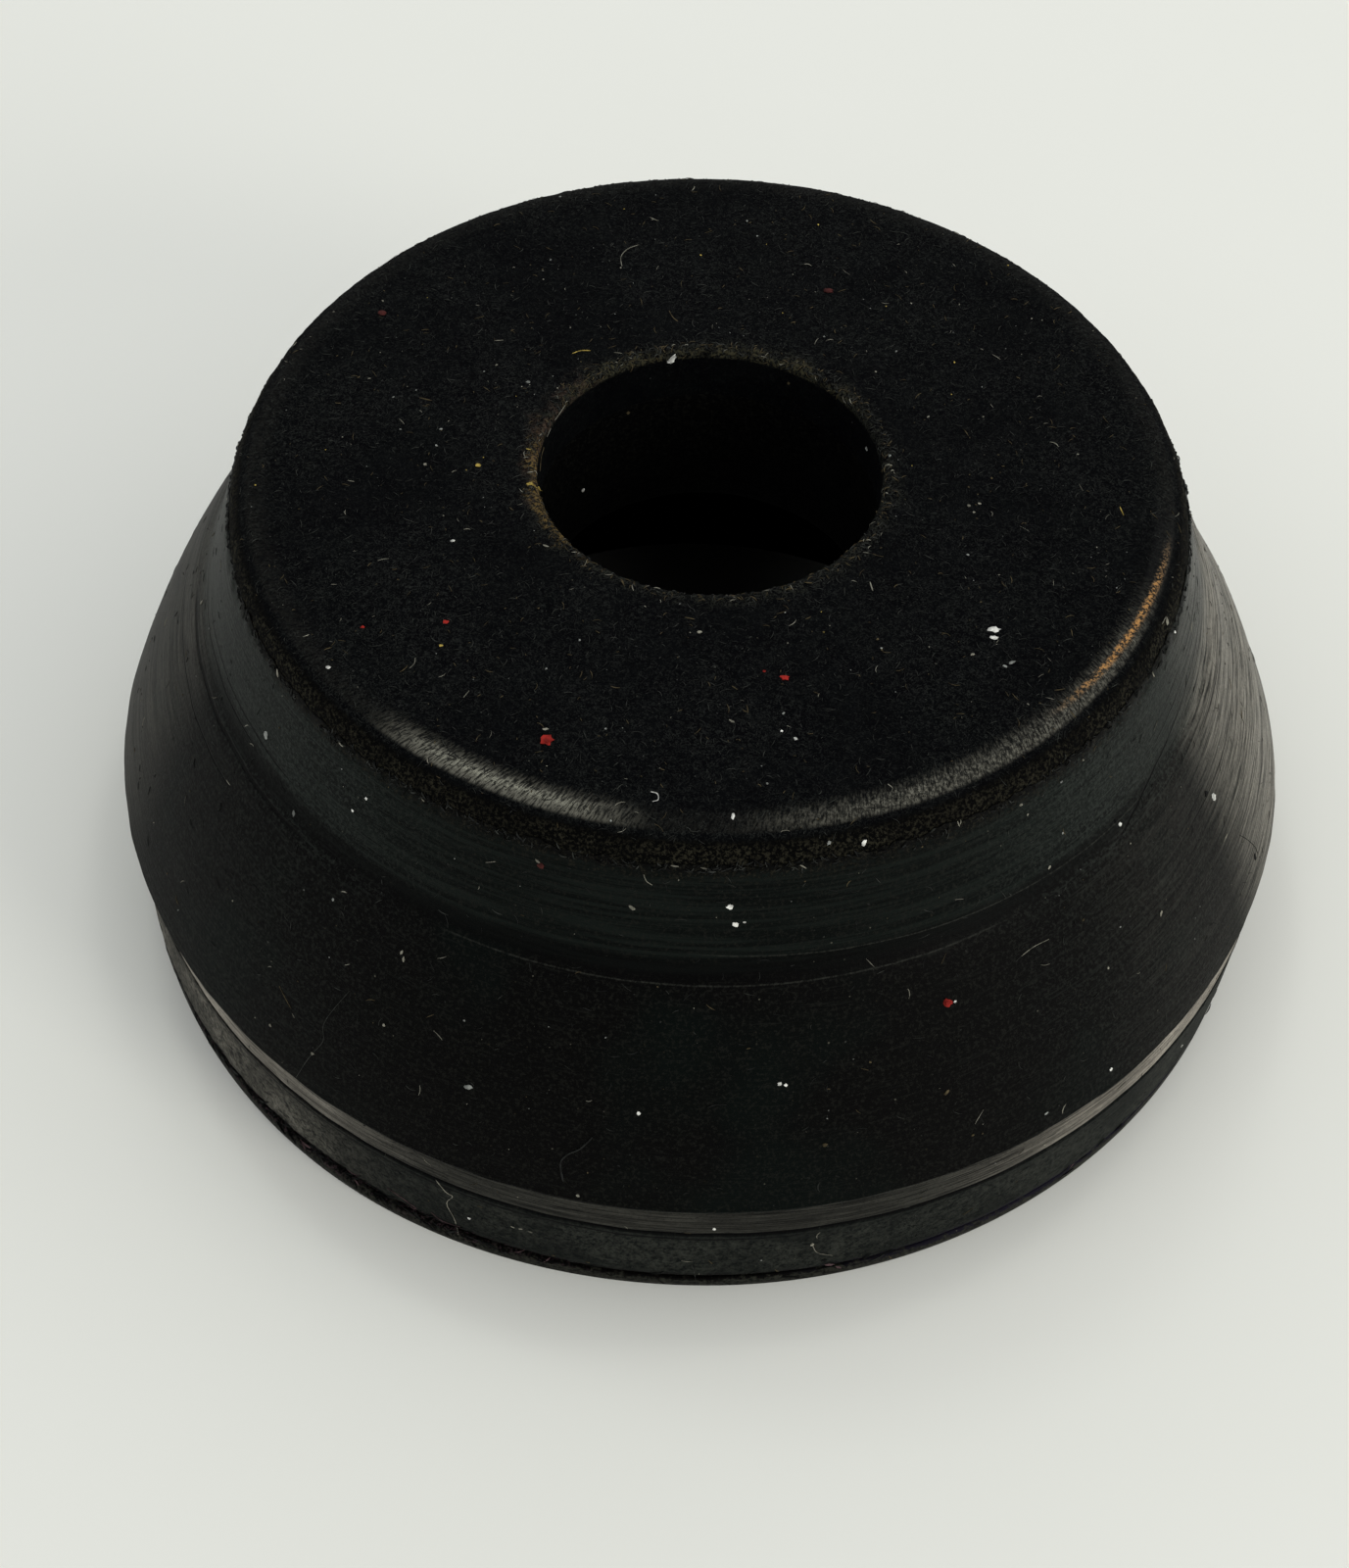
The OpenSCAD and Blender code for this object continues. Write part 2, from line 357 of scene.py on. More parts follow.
# ------------------------ node materials
class Graph:
    """Builds the nodes of one material."""

    def __init__(self, name):
        self.material = bpy.data.materials.new(name)
        self.material.use_nodes = True
        self.tree = self.material.node_tree
        self.tree.nodes.clear()
        self.output = self.add("OutputMaterial")
        coordinates = self.add("TexCoord")
        self.place = self.vector("SCALE", coordinates.outputs["Object"], scale=1 / MM)
        split = self.add("SeparateXYZ", {0: self.place})
        x, y, self.z = split.outputs
        flat = self.join(x, y, 0.0)
        self.r = self.vector("LENGTH", flat)
        self.round = self.vector("NORMALIZE", flat)
        self.turn = self.times(self.math("ARCTAN2", y, x), 180 / math.pi)

    def add(self, kind, sockets=None, **settings):
        node = self.tree.nodes.new("ShaderNode" + kind)
        for key, value in settings.items():
            setattr(node, key, value)
        for key, value in (sockets or {}).items():
            self.put(value, node.inputs[key])
        return node

    def put(self, value, socket):
        if isinstance(value, bpy.types.NodeSocket):
            self.tree.links.new(value, socket)
        else:
            socket.default_value = value

    def math(self, operation, a, b=0.0):
        return self.add("Math", {0: a, 1: b}, operation=operation).outputs[0]

    def most(self, a, b):
        return self.math("MAXIMUM", a, b)

    def apart(self, a, b):
        return self.math("ABSOLUTE", self.math("SUBTRACT", a, b))

    def times(self, *values):
        result = values[0]
        for value in values[1:]:
            result = self.math("MULTIPLY", result, value)
        return result

    def plus(self, *values):
        result = values[0]
        for value in values[1:]:
            result = self.math("ADD", result, value)
        return result

    def swing(self, value, size):
        """How far value is from a half, times size."""
        return self.times(self.plus(value, -0.5), size)

    def vector(self, operation, a, b=None, scale=None):
        node = self.add("VectorMath", {0: a}, operation=operation)
        if b is not None:
            self.put(b, node.inputs[1])
        if scale is not None:
            self.put(scale, node.inputs["Scale"])
        return node.outputs["Value" if operation in ("LENGTH", "DOT_PRODUCT") else "Vector"]

    def join(self, x, y, z):
        return self.add("CombineXYZ", {0: x, 1: y, 2: z}).outputs[0]

    def ramp(self, value, low, high, start=0.0, end=1.0):
        """Smoothly from start, at low, to end, at high. high may be under low."""
        if high < low:
            low, high, start, end = high, low, end, start
        node = self.add(
            "MapRange", {0: value, 1: low, 2: high, 3: start, 4: end},
            interpolation_type="SMOOTHSTEP",
        )
        return node.outputs[0]

    def between(self, value, low, high, soft):
        """1 where value lies from low to high, fading over soft outside."""
        return self.times(self.ramp(value, low - soft, low), self.ramp(value, high + soft, high))

    def towards(self, degrees, inner, outer):
        """1 within inner degrees of a direction round the axis, 0 beyond outer."""
        a = math.radians(degrees)
        dot = self.vector("DOT_PRODUCT", self.round, (math.cos(a), math.sin(a), 0))
        return self.ramp(dot, math.cos(math.radians(outer)), math.cos(math.radians(inner)))

    def noise(self, scale, detail=2.0, rough=0.5, warp=0.0, where=None, offset=None):
        """Noise whose features are about 1 / scale millimetres wide."""
        spot = self.place if where is None else where
        if offset is not None:
            spot = self.vector("ADD", spot, (offset, offset * 1.7, offset * 0.6))
        node = self.add(
            "TexNoise",
            {
                "Vector": spot, "Scale": scale, "Detail": detail, "Roughness": rough,
                "Distortion": warp,
            },
        )
        return node.outputs[0]

    def streaks(self, long, fine, offset=0.0, detail=2.0):
        """Noise drawn out round the axis: long features a radian, fine ones a millimetre."""
        spread = self.vector("SCALE", self.round, scale=long)
        height = self.times(self.plus(self.z, self.times(self.r, 0.35), offset), fine)
        where = self.vector("ADD", spread, self.join(0.0, 0.0, height))
        return self.noise(1.0, detail, 0.6, where=where)

    def specks(self, cell, size, share, offset=0.0):
        """Small round spots: cell is their spacing and size their radius in millimetres."""
        spot = self.vector("ADD", self.place, (offset, offset * 0.7, offset * 1.3))
        node = self.add("TexVoronoi", {"Vector": spot, "Scale": 1 / cell, "Randomness": 1.0})
        lot = self.add("SeparateColor", {0: node.outputs["Color"]})
        chosen = self.math("LESS_THAN", lot.outputs[0], share)
        reach = self.times(self.plus(lot.outputs[1], 0.35), size / cell)
        near = self.math("LESS_THAN", node.outputs["Distance"], reach)
        return self.times(chosen, near), lot.outputs[2]

    def hairs(self, scale, warp, width, offset):
        """Short curly lines, as broken ridges of noise. width is a share of the noise's range."""
        ridge = self.math(
            "ABSOLUTE", self.plus(self.noise(scale, 1.0, 0.4, warp, offset=offset), -0.5)
        )
        broken = self.noise(scale * 0.9, 1.0, 0.5, offset=offset + 50.0)
        return self.times(self.ramp(ridge, width, 0.0), self.ramp(broken, 0.47, 0.6))

    def groove(self, height, slope, curve, width, low, high, wavering, soft=4.0):
        """1 along a thin line round the part, from turn low to high in degrees. Its height is
        height + slope * turn + curve * turn^2 + wavering, in millimetres."""
        turn = self.turn
        course = self.plus(
            self.times(turn, self.plus(self.times(turn, curve), slope)), height, wavering
        )
        off = self.apart(self.z, course)
        return self.times(self.ramp(off, width, width * 0.3), self.between(turn, low, high, soft))

    def mix(self, share, a, b):
        node = self.add("Mix", data_type="RGBA")
        self.put(share, node.inputs[0])
        self.put(a, node.inputs[6])
        self.put(b, node.inputs[7])
        return node.outputs[2]

    def paint(self, share, colour):
        """Lay a colour over what is painted so far."""
        self.colour = self.mix(share, self.colour, colour)

    def relief(self, height):
        """A bump whose height is in millimetres."""
        return self.add("Bump", {"Height": height, "Strength": 1.0, "Distance": MM}).outputs[0]

    def finish(self, colour, roughness, normal, metallic=0.0, **constants):
        shader = self.add("BsdfPrincipled")
        self.put(colour, shader.inputs["Base Color"])
        self.put(roughness, shader.inputs["Roughness"])
        self.put(metallic, shader.inputs["Metallic"])
        if normal is not None:
            self.put(normal, shader.inputs["Normal"])
        for key, value in constants.items():
            shader.inputs[key.replace("_", " ")].default_value = value
        self.tree.links.new(shader.outputs[0], self.output.inputs[0])
        return self.material


def rgb(r, g, b):
    return (r, g, b, 1.0)


def rubber_material():
    g = Graph("rubber")
    fine = g.streaks(13.0, 13.0, 3.0, 4.0)
    long = g.streaks(3.2, 5.0, 9.0, 3.0)
    cloud = g.noise(0.11, 2.0)
    grain = g.noise(5.0, 3.0, 0.75)
    mottle = g.noise(2.0, 5.0, 0.75)
    outer = g.ramp(g.r, 24.5, 25.0)
    front = g.vector("DOT_PRODUCT", g.round, (0.0, -1.0, 0.0))
    away = g.times(g.ramp(front, 0.95, 0.66), g.ramp(front, -0.8, -0.2, 0.4, 1.0))
    neck = g.times(outer, g.between(g.z, 20.9, 26.3, 0.3))
    # brownish black, with a green cast on the neck and the smoother places
    green = g.most(g.times(neck, 0.7), g.ramp(cloud, 0.46, 0.66))
    g.colour = g.mix(green, rgb(0.0006, 0.0005, 0.0005), rgb(0.0008, 0.002, 0.0016))
    g.colour = g.mix(outer, rgb(0.0009, 0.0009, 0.001), g.colour)
    tone = g.times(neck, g.ramp(long, 0.38, 0.64))
    g.paint(g.times(tone, 0.5), rgb(0.0085, 0.012, 0.01))
    g.paint(g.times(outer, g.ramp(fine, 0.54, 0.74), 0.5), rgb(0.008, 0.009, 0.0075))
    g.paint(g.times(g.ramp(grain, 0.5, 0.64), 0.6), rgb(0.009, 0.0092, 0.0074))
    # grain and streaks painted paler away from the front, and more on the neck: painted sheen on
    # the sides
    side_sheen_grain = g.times(outer, away, g.most(g.ramp(grain, 0.47, 0.6), g.ramp(fine, 0.52, 0.66)))
    g.paint(g.times(side_sheen_grain, g.ramp(g.z, 19.4, 21.0, 0.16, 0.5)), rgb(0.025, 0.031, 0.027))
    # painted sheen: a pale streaked reflection of grazing light on the right, which fades slowly
    # to the back, and a little on the left
    right = g.most(g.towards(4, 8, 33), g.times(g.towards(-14, 12, 38), 0.05))
    right = g.most(right, g.times(g.towards(40, 5, 42), 0.35))
    right = g.times(right, outer)
    left = g.times(g.towards(180, 5, 24), outer, 0.18)
    sheen_sides = g.most(right, left)
    streaky = g.plus(
        g.times(g.ramp(long, 0.34, 0.66), 0.45), g.times(g.ramp(fine, 0.34, 0.66), 0.55)
    )
    streaky = g.times(streaky, g.ramp(grain, 0.25, 0.55, 0.55, 1.0))
    low = g.ramp(g.z, 22.6, 19.8, 0.26, 1.1)
    painted_sheen = g.times(sheen_sides, streaky, low, g.ramp(g.z, 8.3, 8.7), g.ramp(g.z, 26.4, 26.0))
    g.paint(painted_sheen, rgb(0.235, 0.22, 0.186))
    # painted shade in the soft corner at the foot of the neck, with a thin painted highlight line
    # on either side
    waver = g.swing(g.noise(0.3, 2.0, offset=60.0), 0.3)
    slight = g.times(waver, 0.3)
    depth = g.plus(g.z, g.times(waver, 1.5))
    painted_corner_shade = g.times(outer, g.between(depth, 20.75, 21.15, 0.6), g.towards(-98, 50, 78))
    g.paint(g.times(painted_corner_shade, 0.75), rgb(0.0004, 0.0004, 0.0004))
    painted_edge_highlights = g.most(
        g.groove(20.3, 0.0, 0.0, 0.05, -112, -62, slight, 8.0),
        g.groove(20.8, 0.0, 0.00012, 0.05, -86, -38, slight, 6.0),
    )
    painted_edge_highlights = g.times(painted_edge_highlights, g.ramp(grain, 0.35, 0.6, 0.1, 0.7))
    g.paint(painted_edge_highlights, rgb(0.024, 0.025, 0.021))
    # grooves that the mould left, all nearly level: a small dent in the bump, darkened with painted
    # shade
    grooves = [
        (22.9, 0.0, -0.0016, 0.1, -38, 6), (23.7, 0.0, -0.0012, 0.06, -28, 10),
        (24.6, 0.0, -0.0012, 0.05, -24, 12), (22.1, 0.0, -0.0012, 0.05, -20, 10),
        (19.25, -0.022, 0.0, 0.08, -19, 8), (19.5, 0.03, 0.0, 0.06, -14, 2),
        (16.8, 0.0, 0.0005, 0.06, -26, 0), (22.0, 0.0, 0.0, 0.1, -166, -144),
        (20.15, 0.0, 0.0, 0.16, -172, -138), (21.3, 0.0, 0.0, 0.07, -172, -150),
        (18.7, 0.0, 0.0, 0.06, -174, -152), (23.2, 0.0, 0.0, 0.07, 60, 120),
        (20.3, 0.0, 0.0, 0.12, 30, 150),
    ]
    groove = 0.0
    for numbers in grooves:
        groove = g.most(g.groove(*numbers, waver), groove)
    groove = g.times(groove, outer)
    g.paint(g.times(groove, 0.8), rgb(0.0004, 0.0004, 0.0004))
    # the thin skin on the plate's edge is as rough and dark as the coating
    grit = g.noise(4.5, 3.0, 0.75, offset=41.0)
    hem = g.times(outer, g.ramp(g.plus(g.z, g.swing(grit, 2.6)), 25.85, 26.55))
    hem_colour = g.mix(
        g.ramp(grit, 0.5, 0.66), rgb(0.001, 0.001, 0.0009), rgb(0.012, 0.0115, 0.008)
    )
    g.paint(g.times(hem, g.towards(-90, 60, 85)), hem_colour)
    # the strip under the sharp edge is streaked and the band below it rough and dusty; both are
    # painted paler, more so away from the front: a painted reflection of the pale floor on them
    foot = g.ramp(g.r, 32.5, 32.9)
    slow = g.noise(0.2, 3.0, 0.6, offset=33.0)
    strip = g.times(foot, g.between(g.z, PARTING_Z + 0.06, EDGE_Z - 0.12, 0.08))
    fibre = g.plus(g.times(g.ramp(long, 0.38, 0.6), 0.4), g.times(g.ramp(fine, 0.41, 0.59), 0.6))
    fibre = g.times(fibre, g.ramp(grain, 0.25, 0.55, 0.35, 1.0), g.ramp(slow, 0.35, 0.6, 0.6, 1.0))
    front_strip = g.mix(fibre, rgb(0.004, 0.004, 0.0035), rgb(0.046, 0.045, 0.038))
    strip_painted_reflection = g.mix(fibre, rgb(0.042, 0.038, 0.031), rgb(0.43, 0.395, 0.338))
    g.paint(strip, g.mix(away, front_strip, strip_painted_reflection))
    band = g.times(foot, g.between(g.z, BAND_Z + 0.1, PARTING_Z - 0.12, 0.12))
    dusty = g.times(
        g.ramp(g.plus(g.times(mottle, 0.5), g.times(grain, 0.5)), 0.38, 0.62),
        g.ramp(slow, 0.36, 0.62, 0.45, 1.0), g.ramp(g.z, 5.5, 4.6, 0.55, 1.0),
        g.ramp(g.z, 1.3, 2.3, 0.6, 1.0),
    )
    front_band = g.mix(dusty, rgb(0.0015, 0.0025, 0.0024), rgb(0.027, 0.029, 0.024))
    band_painted_reflection = g.mix(dusty, rgb(0.01, 0.01, 0.0085), rgb(0.19, 0.178, 0.148))
    far_left = g.towards(-165, 16, 50)
    g.paint(band, g.mix(far_left, front_band, band_painted_reflection))
    # painted shade in the parting groove, in a second groove just below it, and right under the
    # sharp edge
    second = g.groove(PARTING_Z - 0.48, 0.0, 0.0, 0.11, -166, -88, waver, 12.0)
    parting = g.most(g.groove(PARTING_Z - 0.03, 0.0, 0.0, 0.19, -170, -66, slight, 20.0), second)
    under = g.times(foot, g.between(g.z, EDGE_Z - 0.22, EDGE_Z - 0.1, 0.06))
    dark = g.most(g.times(foot, parting), g.times(under, 0.8))
    g.paint(g.times(dark, 0.9), rgb(0.0012, 0.0012, 0.0014))
    # painted shade in the seam: black inside and bluish violet on the right; where chewed at the
    # left front it is brownish violet
    ragged = g.plus(g.z, g.swing(mottle, 1.0))
    seam = g.times(foot, g.between(ragged, LIP_Z - 0.15, BAND_Z + 0.16, 0.08))
    seam_shade_colour = g.mix(
        g.towards(-38, 20, 45), rgb(0.0012, 0.0011, 0.001), rgb(0.007, 0.006, 0.012)
    )
    bits = g.times(g.towards(-128, 14, 34), g.ramp(grit, 0.5, 0.62))
    g.paint(seam, g.mix(bits, seam_shade_colour, rgb(0.03, 0.02, 0.022)))
    lip = g.times(foot, g.ramp(ragged, LIP_Z, LIP_Z - 0.12))
    g.paint(g.times(lip, g.ramp(grain, 0.38, 0.62)), rgb(0.022, 0.022, 0.017))
    # dust
    dots, _ = g.specks(0.9, 0.04, 0.35)
    crumbs, tint = g.specks(0.32, 0.045, 0.3, 7.0)
    crumbs = g.times(crumbs, outer, g.ramp(mottle, 0.46, 0.62))
    g.paint(g.times(crumbs, 0.7), g.mix(tint, rgb(0.024, 0.018, 0.009), rgb(0.022, 0.024, 0.021)))
    g.paint(g.times(dots, 0.5), rgb(0.11, 0.105, 0.08))
    rough = g.plus(
        0.5, g.times(right, -0.1), g.times(neck, -0.05), g.swing(fine, 0.25),
        g.times(right, g.plus(streaky, -0.5), -0.25), g.times(g.plus(strip, band), 0.14),
    )
    height = g.plus(
        g.times(fine, g.plus(g.times(sheen_sides, 0.018), 0.012)),
        g.times(long, g.plus(g.times(sheen_sides, 0.03), 0.022)), g.times(grain, 0.022),
        g.times(groove, -0.05),
    )
    return g.finish(g.colour, rough, g.relief(height), Specular_IOR_Level=0.035)


def plate_material():
    g = Graph("coated_steel")
    hairs = g.hairs(3.6, 1.4, 0.036, 3.0)
    curls = g.noise(2.6, 3.0, 0.6, warp=2.0)
    fuzz = g.noise(5.0, 3.0, 0.7, warp=1.6, offset=13.0)
    lumps = g.noise(0.5, 3.0, 0.6)
    broad = g.noise(0.13, 2.0, offset=5.0)
    grit = g.noise(5.5, 3.0, 0.75, offset=41.0)
    face = g.ramp(g.z, 27.6, 27.8)
    g.colour = g.mix(
        g.ramp(lumps, 0.35, 0.7), rgb(0.0004, 0.0005, 0.0009), rgb(0.0012, 0.0015, 0.0018)
    )
    patchy = g.times(g.ramp(broad, 0.3, 0.62, 0.4, 1.0), g.ramp(face, 0.0, 1.0, 0.35, 1.0))
    nap = g.times(g.ramp(fuzz, 0.5, 0.62), patchy)
    g.paint(g.times(nap, 0.8), rgb(0.012, 0.0132, 0.0122))
    g.paint(g.times(hairs, patchy, 0.6), rgb(0.024, 0.026, 0.023))
    warm = g.ramp(g.noise(0.25, 2.0, offset=20.0), 0.5, 0.7)
    dots, _ = g.specks(0.5, 0.03, 0.4)
    g.paint(g.times(dots, 0.7), g.mix(warm, rgb(0.06, 0.063, 0.057), rgb(0.1, 0.08, 0.04)))
    # the rough wall under the rolled edge: black at its top, brown in the grain below
    wall = g.times(g.ramp(g.z, 27.95, 27.7), g.ramp(g.r, 20.0, 21.0))
    brown = g.times(
        g.ramp(g.z, 27.9, 27.45), g.ramp(grit, 0.47, 0.62), g.ramp(lumps, 0.35, 0.6, 0.45, 1.0)
    )
    g.paint(wall, g.mix(brown, rgb(0.0008, 0.0008, 0.0008), rgb(0.0205, 0.019, 0.0125)))
    # a fuzzy greasy ring round the bore, with rust on its left
    ragged = g.plus(g.r, g.swing(g.noise(0.9, 4.0, 0.6), 2.4))
    ring = g.times(g.ramp(ragged, 10.5, 9.3), face)
    g.paint(g.times(ring, g.ramp(fuzz, 0.46, 0.6), 0.6), rgb(0.027, 0.028, 0.021))
    rim = g.times(g.ramp(ragged, 9.8, 9.2), face, g.ramp(grit, 0.48, 0.6))
    g.paint(g.times(rim, g.towards(92, 30, 75), 0.6), rgb(0.062, 0.056, 0.03))
    rust = g.times(ring, g.towards(168, 14, 42), g.ramp(g.noise(1.5, 3.0, offset=4.0), 0.38, 0.6))
    g.paint(g.times(rust, g.ramp(fuzz, 0.38, 0.6), 0.7), rgb(0.06, 0.038, 0.027))
    ochre = g.times(
        g.ramp(ragged, 9.85, 9.35), g.towards(-163, 12, 34), face, g.ramp(grit, 0.46, 0.58)
    )
    g.paint(g.times(ochre, 0.7), rgb(0.15, 0.1, 0.034))
    # the rolled edge is rubbed smooth in two places, under fine hairs that lie across it
    slant = g.join(g.plus(g.times(g.turn, 3.4), g.times(g.r, 3.0)), g.times(g.r, 1.9), 0.0)
    strokes = g.noise(1.0, 3.0, 0.75, where=slant)
    frayed = g.plus(g.r, g.swing(strokes, 1.5))
    edge = g.times(g.ramp(frayed, 22.9, 24.15), g.ramp(g.r, 24.55, 24.3))
    second = g.times(g.towards(-52, 9, 37), g.ramp(grit, 0.38, 0.6, 0.2, 1.0), 0.85)
    places = g.plus(g.most(g.towards(-114, 4, 19), second), 0.04)
    rubbed = g.times(edge, places, g.ramp(strokes, 0.4, 0.58, 0.12, 1.1))
    # and bare metal shows where its coating has worn through
    line_r = g.plus(g.times(g.plus(g.turn, 9.0), 0.016), 24.25)
    off = g.apart(g.plus(g.r, g.swing(grit, 0.5)), line_r)
    worn = g.times(
        g.towards(-27, 5, 19), g.ramp(off, 0.32, 0.04), g.ramp(grit, 0.43, 0.57, 0.06, 1.0)
    )
    shine = g.mix(worn, rgb(0.125, 0.121, 0.098), rgb(0.42, 0.215, 0.07))
    metal = g.most(worn, rubbed)
    g.paint(metal, shine)
    smooth = g.times(g.between(g.r, 23.6, 24.3, 0.3), g.most(places, g.towards(-25, 12, 24)))
    rough = g.plus(0.85, g.times(smooth, -0.48), g.swing(curls, 0.15))
    calm = g.plus(1.0, g.times(smooth, -0.75))
    height = g.plus(
        g.times(curls, calm, 0.045), g.times(fuzz, calm, 0.01), g.times(lumps, 0.02),
        g.times(wall, grit, 0.08),
    )
    return g.finish(g.colour, rough, g.relief(height), metallic=metal, Specular_IOR_Level=0.03)


def floor_material():
    """Pale board, which can be looked through from below."""
    g = Graph("floor")
    cloud = g.noise(0.02, 3.0)
    colour = g.mix(cloud, rgb(0.795, 0.8, 0.745), rgb(0.825, 0.83, 0.78))
    g.finish(colour, 0.7, None, Specular_IOR_Level=0.3)
    board = g.output.inputs[0].links[0].from_socket
    below = g.add("NewGeometry").outputs["Backfacing"]
    clear = g.add("BsdfTransparent").outputs[0]
    both = g.add("MixShader", {0: below, 1: board, 2: clear})
    g.put(both.outputs[0], g.output.inputs[0])
    return g.material


def dust_material(name, colour):
    """Lint and specks, each kind of one shade that varies a little from place to place."""
    g = Graph(name)
    shade = g.ramp(g.noise(2.5, 1.0), 0.35, 0.65)
    dark = tuple(0.45 * c for c in colour)
    return g.finish(g.mix(shade, rgb(*dark), rgb(*colour)), 0.8, None, Specular_IOR_Level=0.1)


DUST = {
    "lint_dim": (0.014, 0.015, 0.014),
    "lint_grey": (0.032, 0.034, 0.03),
    "lint_warm": (0.085, 0.066, 0.034),
    "lint_pale": (0.26, 0.25, 0.2),
    "white": (0.86, 0.86, 0.8),
    "grey": (0.26, 0.27, 0.25),
    "red": (0.3, 0.018, 0.013),
    "dull_red": (0.06, 0.014, 0.012),
    "yellow": (0.46, 0.34, 0.08),
    "mauve": (0.085, 0.052, 0.055),
    "black": (0.0006, 0.0006, 0.0006),
}


# ------------------------ the pieces
def add_rubber():
    piece = revolve("rubber_moulding", rubber_outline(), RUBBER_STEPS, rubber_shift)
    piece.data.materials.append(rubber_material())
    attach(piece, "root")
    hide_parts("rubber_body")
    return piece


def add_plate():
    piece = revolve("plate_disc", plate_outline(), PLATE_STEPS, plate_shift)
    piece.data.materials.append(plate_material())
    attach(piece, "root")
    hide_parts("top_plate")
    return piece


# ------------------------ lint, specks and shreds
class Surface:
    """The rubber and the plate as one surface that small bits are seated on, in millimetres."""

    def __init__(self, pieces):
        points, faces = [], []
        for piece in pieces:
            base = len(points)
            points += [v.co / MM for v in piece.data.vertices]
            faces += [[base + i for i in face.vertices] for face in piece.data.polygons]
        self.tree = BVHTree.FromPolygons(points, faces)

    def near(self, point):
        return self.tree.find_nearest(point)[:2]

    def seen(self, u, v):
        return self.tree.ray_cast(CAMERA_AT, pixel_ray(u, v))[:2]


class Bits:
    """Small closed shapes, gathered into one mesh; each is one kind of dust."""

    def __init__(self, seed):
        self.rng = random.Random(seed)
        self.co, self.faces, self.kinds = [], [], []
        ball = bmesh.new()
        bmesh.ops.create_icosphere(ball, subdivisions=2, radius=1)
        self.ball_points = [v.co.copy() for v in ball.verts]
        self.ball_faces = [[v.index for v in face.verts] for face in ball.faces]
        ball.free()

    def tube(self, path, normal, width, kind):
        """A three-sided strand along path, thinner at its ends."""
        base, last = len(self.co), len(path) - 1
        for i, spot in enumerate(path):
            along = (path[min(i + 1, last)] - path[max(i - 1, 0)]).normalized()
            across = along.cross(normal).normalized()
            up = across.cross(along)
            half = 0.5 * width * (0.45 if i in (0, last) else 1.0)
            for k in range(3):
                c, s = math.cos(TAU * k / 3), math.sin(TAU * k / 3)
                self.co.append(spot + across * (half * c) + up * (half * s))
        for i in range(last):
            for k in range(3):
                a, b = base + 3 * i + k, base + 3 * i + (k + 1) % 3
                self.faces += [(a, b + 3, b), (a, a + 3, b + 3)]
        end = base + 3 * last
        self.faces += [(base, base + 1, base + 2), (end + 2, end + 1, end)]
        self.kinds += [kind] * (6 * last + 2)

    def lump(self, spot, normal, heading, length, width, height, kind):
        """An irregular grain that lies on the surface, its length along heading."""
        across = normal.cross(heading).normalized()
        heading = across.cross(normal)
        base = len(self.co)
        for ball in self.ball_points:
            reach = self.rng.uniform(0.55, 1.2)
            self.co.append(
                spot + normal * (0.25 * height) + heading * (0.5 * length * reach * ball.x)
                + across * (0.5 * width * reach * ball.y) + normal * (0.5 * height * reach * ball.z)
            )
        self.faces += [tuple(base + i for i in face) for face in self.ball_faces]
        self.kinds += [kind] * len(self.ball_faces)

    def strand(self, surface, start, heading, length, width, bend, kind, arch=0.0):
        """A strand that follows the surface from start, turning by bend radians on its way."""
        spot, normal = surface.near(start)
        path = []
        for i in range(STRAND_STEPS + 1):
            lift = 0.25 * width + arch * math.sin(math.pi * i / STRAND_STEPS)
            path.append(spot + normal * lift)
            heading = heading - normal * heading.dot(normal)
            turned = normal.cross(heading) * (bend / STRAND_STEPS)
            heading = (heading.normalized() + turned).normalized()
            spot, normal = surface.near(spot + heading * (length / STRAND_STEPS))
        self.tube(path, normal, width, kind)

    def piece(self, name, slot, materials):
        piece = make_mesh(name, np.array([tuple(c) for c in self.co]) * MM, np.array(self.faces))
        kinds = sorted(set(self.kinds))
        for kind in kinds:
            piece.data.materials.append(materials[kind])
        piece.data.polygons.foreach_set("material_index", [kinds.index(k) for k in self.kinds])
        piece.data.polygons.foreach_set("use_smooth", [False] * len(self.kinds))
        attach(piece, "root")


def ring_point(radius, turn, z):
    return Vector((radius * math.cos(turn), radius * math.sin(turn), z))


def any_heading(rng):
    return Vector((rng.uniform(-1, 1), rng.uniform(-1, 1), rng.uniform(-0.6, 0.6))).normalized()


def add_plate_nap(surface, materials):
    """Short curly lint over the whole coating, and a ring of fuzz on the bore's edge."""
    bits = Bits(7)
    rng = bits.rng
    draw = rng.uniform
    common = ["lint_dim"] * 30 + ["lint_grey"] * 20 + ["lint_warm"] * 5 + ["lint_pale"]
    for _ in range(FACE_STRANDS):
        radius, turn = math.sqrt(draw(9.6**2, 25.3**2)), draw(0, TAU)
        bits.strand(
            surface, ring_point(radius, turn, TOP_Z), any_heading(rng),
            0.12 + 0.5 * rng.random() ** 2, draw(0.022, 0.045), draw(-1.3, 1.3), rng.choice(common),
            draw(0, 0.03),
        )
    rim = ["lint_dim"] * 5 + ["lint_grey"] * 7 + ["lint_warm"] * 4 + ["lint_pale"]
    for _ in range(RIM_STRANDS):
        turn = draw(0, TAU)
        bits.strand(
            surface, ring_point(rng.gauss(9.55, 0.22), turn, draw(27.9, 28.2)), any_heading(rng),
            draw(0.15, 0.5), draw(0.03, 0.06), draw(-1.5, 1.5), rng.choice(rim), 0.04,
        )
    bits.piece("plate_nap", "plate", materials)


